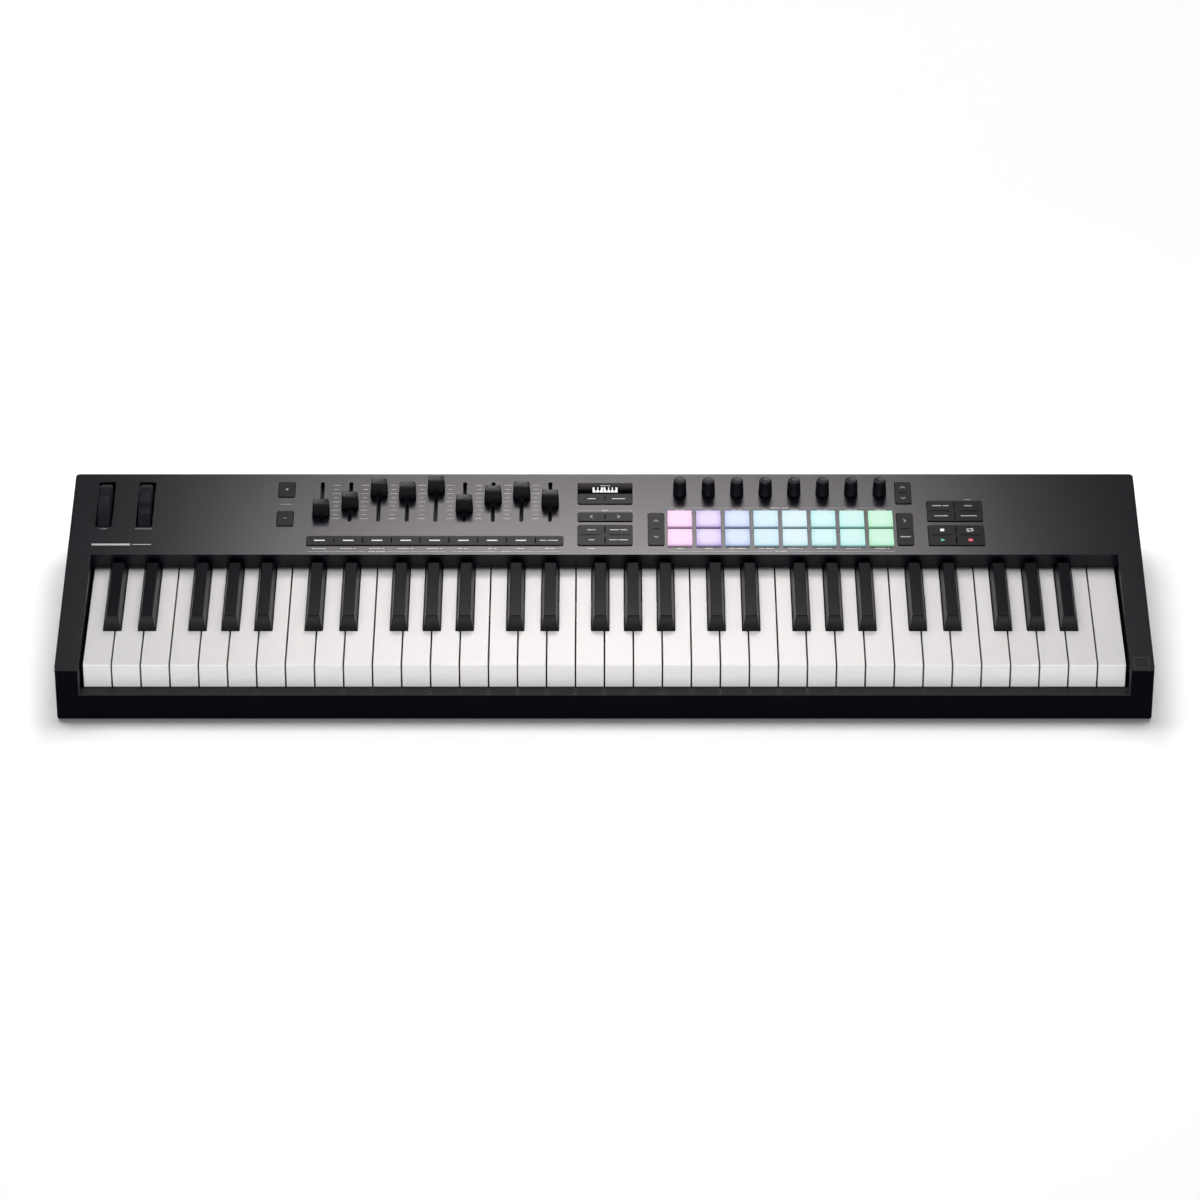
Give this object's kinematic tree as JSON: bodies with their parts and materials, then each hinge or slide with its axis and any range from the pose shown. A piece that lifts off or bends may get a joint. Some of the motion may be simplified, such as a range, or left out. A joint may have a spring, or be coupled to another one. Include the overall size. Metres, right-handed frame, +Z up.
{
  "type": "keyboard controller",
  "caption": "Long flat keyboard controller with piano-style keys, two wheels, faders, encoders, lit pads and buttons on a gently sloping panel.",
  "frame": {"origin": "on the table under the middle of the case", "axes": "+X along the key row from bass to treble, +Y from the player to the back, +Z up"},
  "size_m": [0.8896, 0.262, 0.0834],
  "materials": {
    "panel_plastic": "fine moulded grain, satin dark grey",
    "tray_plastic": "fine moulded grain, near black",
    "white_key": "semi-gloss warm white",
    "black_key": "satin black",
    "keybed_plastic": "moulded grey",
    "spring_steel": "rolled strip",
    "circuit_board": "green solder mask",
    "contact_rubber": "milky silicone",
    "felt": "pressed felt",
    "display_gloss": "gloss black window",
    "display_part": "thin display panel",
    "track_plastic": "dark moulded dust strip",
    "part_metal": "plain pressed metal",
    "bracket_plastic": "moulded black",
    "socket_plastic": "moulded black",
    "foot_rubber": "black rubber",
    "screw_steel": "black oxide",
    "wheel_rubber": "soft-touch dark grey",
    "fader_plastic": "satin black",
    "knob_plastic": "satin black",
    "button_rubber": "matt silicone, dark grey",
    "pad_silicone": "translucent silicone lit from below"
  },
  "bodies": {
    "case": {"top_case": "panel_plastic", "bottom_case": "tray_plastic", "keybed_frame": "keybed_plastic", "key_springs": "spring_steel", "key_contact_board": "circuit_board", "key_contact_rubber": "contact_rubber", "keybed_felt": "felt", "control_boards": "circuit_board", "display_module": "display_part", "display_window": "display_gloss", "fader_tracks": "track_plastic", "encoder_bodies": "part_metal", "wheel_bracket": "bracket_plastic", "rear_sockets": "socket_plastic", "feet": "foot_rubber", "case_screws": "screw_steel"},
    "keys_c_body": {"keys_c": "white_key"},
    "keys_c_sharp_body": {"keys_c_sharp": "black_key"},
    "keys_d_body": {"keys_d": "white_key"},
    "keys_d_sharp_body": {"keys_d_sharp": "black_key"},
    "keys_e_body": {"keys_e": "white_key"},
    "keys_f_body": {"keys_f": "white_key"},
    "keys_f_sharp_body": {"keys_f_sharp": "black_key"},
    "keys_g_body": {"keys_g": "white_key"},
    "keys_g_sharp_body": {"keys_g_sharp": "black_key"},
    "keys_a_body": {"keys_a": "white_key"},
    "keys_a_sharp_body": {"keys_a_sharp": "black_key"},
    "keys_b_body": {"keys_b": "white_key"},
    "pitch_wheel_body": {"pitch_wheel": "wheel_rubber"},
    "mod_wheel_body": {"mod_wheel": "wheel_rubber"},
    "fader_1_body": {"fader_1": "fader_plastic"},
    "fader_2_body": {"fader_2": "fader_plastic"},
    "fader_3_body": {"fader_3": "fader_plastic"},
    "fader_4_body": {"fader_4": "fader_plastic"},
    "fader_5_body": {"fader_5": "fader_plastic"},
    "fader_6_body": {"fader_6": "fader_plastic"},
    "fader_7_body": {"fader_7": "fader_plastic"},
    "fader_8_body": {"fader_8": "fader_plastic"},
    "fader_9_body": {"fader_9": "fader_plastic"},
    "encoder_1_body": {"encoder_1": "knob_plastic"},
    "encoder_2_body": {"encoder_2": "knob_plastic"},
    "encoder_3_body": {"encoder_3": "knob_plastic"},
    "encoder_4_body": {"encoder_4": "knob_plastic"},
    "encoder_5_body": {"encoder_5": "knob_plastic"},
    "encoder_6_body": {"encoder_6": "knob_plastic"},
    "encoder_7_body": {"encoder_7": "knob_plastic"},
    "encoder_8_body": {"encoder_8": "knob_plastic"},
    "octave_up_button_body": {"octave_up_button": "button_rubber"},
    "octave_down_button_body": {"octave_down_button": "button_rubber"},
    "fader_button_strip_body": {"fader_button_strip": "button_rubber"},
    "display_keys_body": {"display_keys": "button_rubber"},
    "track_keys_body": {"track_keys": "button_rubber"},
    "mode_keys_body": {"mode_keys": "button_rubber"},
    "pad_bank_keys_body": {"pad_bank_keys": "button_rubber"},
    "encoder_bank_keys_body": {"encoder_bank_keys": "button_rubber"},
    "function_keys_body": {"function_keys": "button_rubber"},
    "edit_keys_body": {"edit_keys": "button_rubber"},
    "transport_keys_body": {"transport_keys": "button_rubber"},
    "pads_upper_row_body": {"pads_upper_row": "pad_silicone"},
    "pads_lower_row_body": {"pads_lower_row": "pad_silicone"}
  },
  "joints": [
    {"name": "pitch_wheel_turn", "type": "hinge", "parent": "case", "child": "pitch_wheel_body", "pos_m": [-0.4173, 0.089, 0.04652], "axis": [1, 0, 0], "range_deg": [-30, 30], "stiffness_Nm_per_rad": 0.1},
    {"name": "mod_wheel_turn", "type": "hinge", "parent": "case", "child": "mod_wheel_body", "pos_m": [-0.3836, 0.089, 0.04652], "axis": [1, 0, 0], "range_deg": [-62, 0]},
    {"name": "keys_c_press", "type": "hinge", "parent": "case", "child": "keys_c_body", "pos_m": [0, 0.046, 0.04], "axis": [1, 0, 0], "range_deg": [0, 3.5], "stiffness_Nm_per_rad": 1.2, "springref_deg": -22.92},
    {"name": "keys_c_sharp_press", "type": "hinge", "parent": "case", "child": "keys_c_sharp_body", "pos_m": [0, 0.046, 0.04], "axis": [1, 0, 0], "range_deg": [0, 3.5], "stiffness_Nm_per_rad": 1.2, "springref_deg": -17.19},
    {"name": "fader_1_travel", "type": "slide", "parent": "case", "child": "fader_1_body", "axis": [0, 0.9972, 0.0753], "range_m": [-0.00712, 0.03891]},
    {"name": "encoder_1_turn", "type": "hinge", "parent": "case", "child": "encoder_1_body", "pos_m": [0.0631, 0.1038, 0.06864], "axis": [0, -0.0753, 0.9972], "continuous": true},
    {"name": "pads_upper_row_press", "type": "slide", "parent": "case", "child": "pads_upper_row_body", "axis": [0, 0.0753, -0.9972], "range_m": [0, 0.001], "stiffness_N_per_m": 900, "springref_m": -0.0012},
    {"name": "pads_lower_row_press", "type": "slide", "parent": "case", "child": "pads_lower_row_body", "axis": [0, 0.0753, -0.9972], "range_m": [0, 0.001], "stiffness_N_per_m": 900, "springref_m": -0.0012},
    {"name": "transport_keys_press", "type": "slide", "parent": "case", "child": "transport_keys_body", "axis": [0, 0.0753, -0.9972], "range_m": [0, 0.0008], "stiffness_N_per_m": 900, "springref_m": -0.0012},
    {"name": "octave_up_button_press", "type": "slide", "parent": "case", "child": "octave_up_button_body", "axis": [0, 0.0753, -0.9972], "range_m": [0, 0.0008], "stiffness_N_per_m": 900, "springref_m": -0.0012},
    {"name": "octave_down_button_press", "type": "slide", "parent": "case", "child": "octave_down_button_body", "axis": [0, 0.0753, -0.9972], "range_m": [0, 0.0008], "stiffness_N_per_m": 900, "springref_m": -0.0012},
    {"name": "fader_button_strip_press", "type": "slide", "parent": "case", "child": "fader_button_strip_body", "axis": [0, 0.0753, -0.9972], "range_m": [0, 0.0008], "stiffness_N_per_m": 900, "springref_m": -0.0012},
    {"name": "display_keys_press", "type": "slide", "parent": "case", "child": "display_keys_body", "axis": [0, 0.0753, -0.9972], "range_m": [0, 0.0008], "stiffness_N_per_m": 900, "springref_m": -0.0012},
    {"name": "track_keys_press", "type": "slide", "parent": "case", "child": "track_keys_body", "axis": [0, 0.0753, -0.9972], "range_m": [0, 0.0008], "stiffness_N_per_m": 900, "springref_m": -0.0012},
    {"name": "mode_keys_press", "type": "slide", "parent": "case", "child": "mode_keys_body", "axis": [0, 0.0753, -0.9972], "range_m": [0, 0.0008], "stiffness_N_per_m": 900, "springref_m": -0.0012},
    {"name": "pad_bank_keys_press", "type": "slide", "parent": "case", "child": "pad_bank_keys_body", "axis": [0, 0.0753, -0.9972], "range_m": [0, 0.0008], "stiffness_N_per_m": 900, "springref_m": -0.0012},
    {"name": "encoder_bank_keys_press", "type": "slide", "parent": "case", "child": "encoder_bank_keys_body", "axis": [0, 0.0753, -0.9972], "range_m": [0, 0.0008], "stiffness_N_per_m": 900, "springref_m": -0.0012},
    {"name": "function_keys_press", "type": "slide", "parent": "case", "child": "function_keys_body", "axis": [0, 0.0753, -0.9972], "range_m": [0, 0.0008], "stiffness_N_per_m": 900, "springref_m": -0.0012},
    {"name": "edit_keys_press", "type": "slide", "parent": "case", "child": "edit_keys_body", "axis": [0, 0.0753, -0.9972], "range_m": [0, 0.0008], "stiffness_N_per_m": 900, "springref_m": -0.0012},
    {"name": "keys_d_press", "type": "hinge", "parent": "case", "child": "keys_d_body", "pos_m": [0, 0.046, 0.04], "axis": [1, 0, 0], "range_deg": [0, 3.5], "stiffness_Nm_per_rad": 1.2, "springref_deg": -22.92},
    {"name": "keys_d_sharp_press", "type": "hinge", "parent": "case", "child": "keys_d_sharp_body", "pos_m": [0, 0.046, 0.04], "axis": [1, 0, 0], "range_deg": [0, 3.5], "stiffness_Nm_per_rad": 1.2, "springref_deg": -17.19},
    {"name": "keys_e_press", "type": "hinge", "parent": "case", "child": "keys_e_body", "pos_m": [0, 0.046, 0.04], "axis": [1, 0, 0], "range_deg": [0, 3.5], "stiffness_Nm_per_rad": 1.2, "springref_deg": -22.92},
    {"name": "keys_f_press", "type": "hinge", "parent": "case", "child": "keys_f_body", "pos_m": [0, 0.046, 0.04], "axis": [1, 0, 0], "range_deg": [0, 3.5], "stiffness_Nm_per_rad": 1.2, "springref_deg": -22.92},
    {"name": "keys_f_sharp_press", "type": "hinge", "parent": "case", "child": "keys_f_sharp_body", "pos_m": [0, 0.046, 0.04], "axis": [1, 0, 0], "range_deg": [0, 3.5], "stiffness_Nm_per_rad": 1.2, "springref_deg": -17.19},
    {"name": "keys_g_press", "type": "hinge", "parent": "case", "child": "keys_g_body", "pos_m": [0, 0.046, 0.04], "axis": [1, 0, 0], "range_deg": [0, 3.5], "stiffness_Nm_per_rad": 1.2, "springref_deg": -22.92},
    {"name": "keys_g_sharp_press", "type": "hinge", "parent": "case", "child": "keys_g_sharp_body", "pos_m": [0, 0.046, 0.04], "axis": [1, 0, 0], "range_deg": [0, 3.5], "stiffness_Nm_per_rad": 1.2, "springref_deg": -17.19},
    {"name": "keys_a_press", "type": "hinge", "parent": "case", "child": "keys_a_body", "pos_m": [0, 0.046, 0.04], "axis": [1, 0, 0], "range_deg": [0, 3.5], "stiffness_Nm_per_rad": 1.2, "springref_deg": -22.92},
    {"name": "keys_a_sharp_press", "type": "hinge", "parent": "case", "child": "keys_a_sharp_body", "pos_m": [0, 0.046, 0.04], "axis": [1, 0, 0], "range_deg": [0, 3.5], "stiffness_Nm_per_rad": 1.2, "springref_deg": -17.19},
    {"name": "keys_b_press", "type": "hinge", "parent": "case", "child": "keys_b_body", "pos_m": [0, 0.046, 0.04], "axis": [1, 0, 0], "range_deg": [0, 3.5], "stiffness_Nm_per_rad": 1.2, "springref_deg": -22.92},
    {"name": "fader_2_travel", "type": "slide", "parent": "case", "child": "fader_2_body", "axis": [0, 0.9972, 0.0753], "range_m": [-0.01715, 0.02888]},
    {"name": "fader_3_travel", "type": "slide", "parent": "case", "child": "fader_3_body", "axis": [0, 0.9972, 0.0753], "range_m": [-0.0353, 0.01073]},
    {"name": "fader_4_travel", "type": "slide", "parent": "case", "child": "fader_4_body", "axis": [0, 0.9972, 0.0753], "range_m": [-0.03089, 0.01514]},
    {"name": "fader_5_travel", "type": "slide", "parent": "case", "child": "fader_5_body", "axis": [0, 0.9972, 0.0753], "range_m": [-0.03931, 0.00672]},
    {"name": "fader_6_travel", "type": "slide", "parent": "case", "child": "fader_6_body", "axis": [0, 0.9972, 0.0753], "range_m": [-0.01304, 0.03299]},
    {"name": "fader_7_travel", "type": "slide", "parent": "case", "child": "fader_7_body", "axis": [0, 0.9972, 0.0753], "range_m": [-0.02547, 0.02056]},
    {"name": "fader_8_travel", "type": "slide", "parent": "case", "child": "fader_8_body", "axis": [0, 0.9972, 0.0753], "range_m": [-0.03099, 0.01504]},
    {"name": "fader_9_travel", "type": "slide", "parent": "case", "child": "fader_9_body", "axis": [0, 0.9972, 0.0753], "range_m": [-0.01986, 0.02617]},
    {"name": "encoder_2_turn", "type": "hinge", "parent": "case", "child": "encoder_2_body", "pos_m": [0.087, 0.1038, 0.06864], "axis": [0, -0.0753, 0.9972], "continuous": true},
    {"name": "encoder_3_turn", "type": "hinge", "parent": "case", "child": "encoder_3_body", "pos_m": [0.1109, 0.1038, 0.06864], "axis": [0, -0.0753, 0.9972], "continuous": true},
    {"name": "encoder_4_turn", "type": "hinge", "parent": "case", "child": "encoder_4_body", "pos_m": [0.1348, 0.1038, 0.06864], "axis": [0, -0.0753, 0.9972], "continuous": true},
    {"name": "encoder_5_turn", "type": "hinge", "parent": "case", "child": "encoder_5_body", "pos_m": [0.1587, 0.1038, 0.06864], "axis": [0, -0.0753, 0.9972], "continuous": true},
    {"name": "encoder_6_turn", "type": "hinge", "parent": "case", "child": "encoder_6_body", "pos_m": [0.1826, 0.1038, 0.06864], "axis": [0, -0.0753, 0.9972], "continuous": true},
    {"name": "encoder_7_turn", "type": "hinge", "parent": "case", "child": "encoder_7_body", "pos_m": [0.2065, 0.1038, 0.06864], "axis": [0, -0.0753, 0.9972], "continuous": true},
    {"name": "encoder_8_turn", "type": "hinge", "parent": "case", "child": "encoder_8_body", "pos_m": [0.2304, 0.1038, 0.06864], "axis": [0, -0.0753, 0.9972], "continuous": true}
  ]
}
